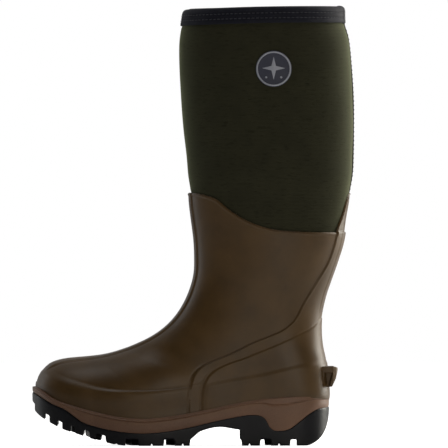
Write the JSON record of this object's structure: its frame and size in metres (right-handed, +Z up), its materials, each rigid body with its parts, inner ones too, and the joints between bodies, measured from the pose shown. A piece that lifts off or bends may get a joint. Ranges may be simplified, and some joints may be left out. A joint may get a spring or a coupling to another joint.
{
  "type": "insulated hunting boot",
  "caption": "Knee-high pull-on boot with a padded foam sock leg, moulded rubber foot, webbing top edge, heel ledge and lugged outsole with a raised arch.",
  "frame": {"origin": "under the middle of the boot's box, on the ground", "axes": "+Z up along the leg, -X towards the toe, +X towards the heel, -Y towards the outer side of this left boot, +Y towards its inner side"},
  "size_m": [0.3222, 0.117, 0.4385],
  "materials": {
    "neoprene": "knit-faced foam",
    "lining": "brushed knit",
    "boot_rubber": "satin",
    "midsole_foam": "satin",
    "outsole_rubber": "semi-gloss",
    "webbing": "woven",
    "thread": "twisted",
    "badge": "matte",
    "badge_relief": "matte",
    "insole_foam": "moulded foam",
    "insole_cover": "brushed",
    "fibre_board": "matte",
    "steel": "plain"
  },
  "bodies": {
    "root": {"neoprene_shaft": "neoprene", "neoprene_foot": "neoprene", "lining_leg": "lining", "lining_foot": "lining", "toe_puff": "boot_rubber", "heel_stiffener": "fibre_board", "insole_board": "fibre_board", "footbed": "insole_foam", "footbed_cover": "insole_cover", "rubber_shell": "boot_rubber", "toe_rand": "boot_rubber", "front_ridge": "boot_rubber", "rear_stay": "boot_rubber", "heel_counter": "boot_rubber", "kick_spur": "boot_rubber", "top_binding": "webbing", "binding_stitching": "thread", "back_seam_tape": "webbing", "back_seam_stitching": "thread", "badge_disc": "badge", "badge_ring": "badge_relief", "badge_emblem": "badge_relief", "midsole": "midsole_foam", "outsole": "outsole_rubber", "steel_shank": "steel"}
  },
  "joints": []
}
